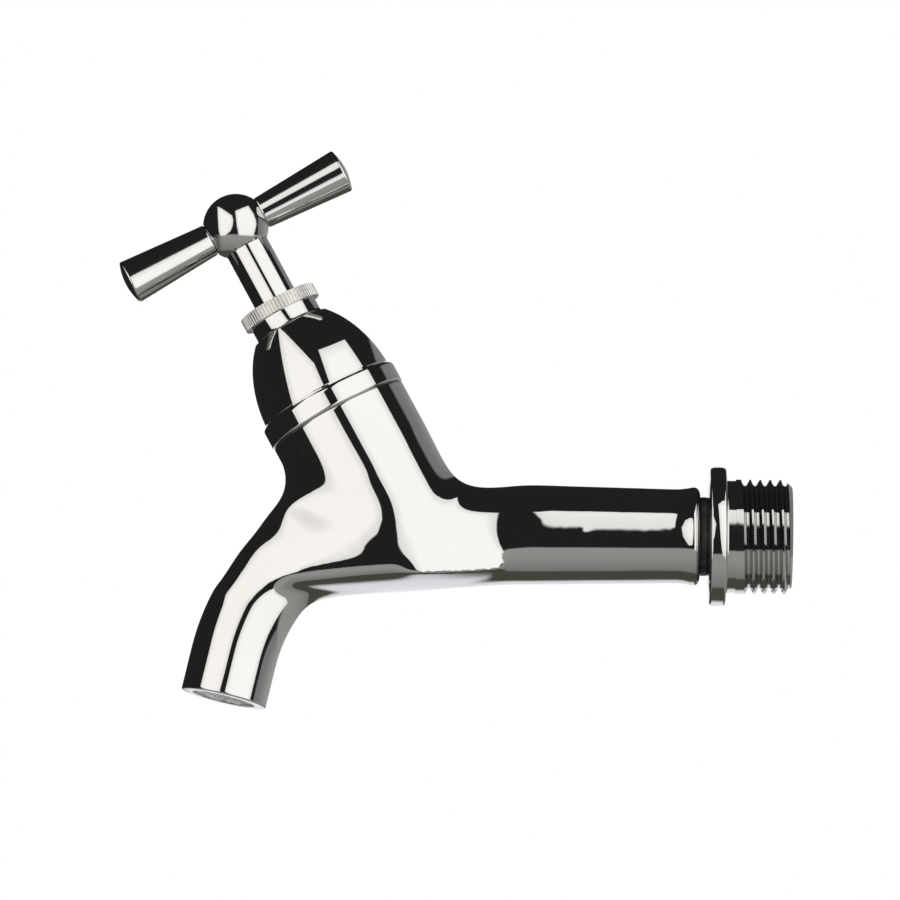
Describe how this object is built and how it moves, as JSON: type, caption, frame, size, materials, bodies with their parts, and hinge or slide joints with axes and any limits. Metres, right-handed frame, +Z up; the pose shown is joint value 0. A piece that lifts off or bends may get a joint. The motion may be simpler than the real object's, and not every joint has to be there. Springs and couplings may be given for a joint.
{
  "type": "bib tap",
  "caption": "Wall bib tap with a leaning screw-down headwork, a two-armed handle bar, a curved spout and a threaded inlet tail behind a round collar.",
  "frame": {"origin": "centre of the collar's back face, on the axis of the inlet thread", "axes": "+X along the inlet thread into the wall, +Z up, the spout points to -X and down"},
  "size_m": [0.1228, 0.0266, 0.1025],
  "materials": {
    "chrome": "polished chrome plate over cast and turned brass",
    "satin_nickel": "satin, finely knurled",
    "brass": "turned brass, unplated",
    "steel": "blackened hexagon socket screw",
    "rubber": "matt moulded rubber",
    "fibre": "pressed fibre",
    "packing": "pressed packing ring",
    "straightener": "moulded plastic"
  },
  "bodies": {
    "tap": {"tap_body": "chrome", "inlet_tail": "chrome", "tail_seal": "rubber", "headwork_housing": "brass", "headwork_seal": "fibre", "packing_washer": "brass", "gland_packing": "packing", "gland_nut": "brass", "bonnet_cover": "chrome", "cover_nut": "satin_nickel", "flow_straightener": "straightener"},
    "valve": {"jumper": "brass", "seat_washer": "rubber", "washer_nut": "brass"},
    "handle": {"spindle": "chrome", "handle_hub": "chrome", "handle_arm_left": "chrome", "handle_arm_right": "chrome", "handle_grub_screw": "steel"}
  },
  "joints": [
    {"name": "valve_lift", "type": "slide", "parent": "tap", "child": "valve", "axis": [-0.4818, 0, 0.8763], "range_m": [0, 0.005]},
    {"name": "handle_turn", "type": "hinge", "parent": "valve", "child": "handle", "pos_m": [-0.08968, 0, 0.05617], "axis": [-0.4818, 0, 0.8763], "range_deg": [0, 720]}
  ],
  "couplings": [
    {"joint": "valve_lift", "follows": "handle_turn", "m_per_rad": 0.00039789}
  ]
}
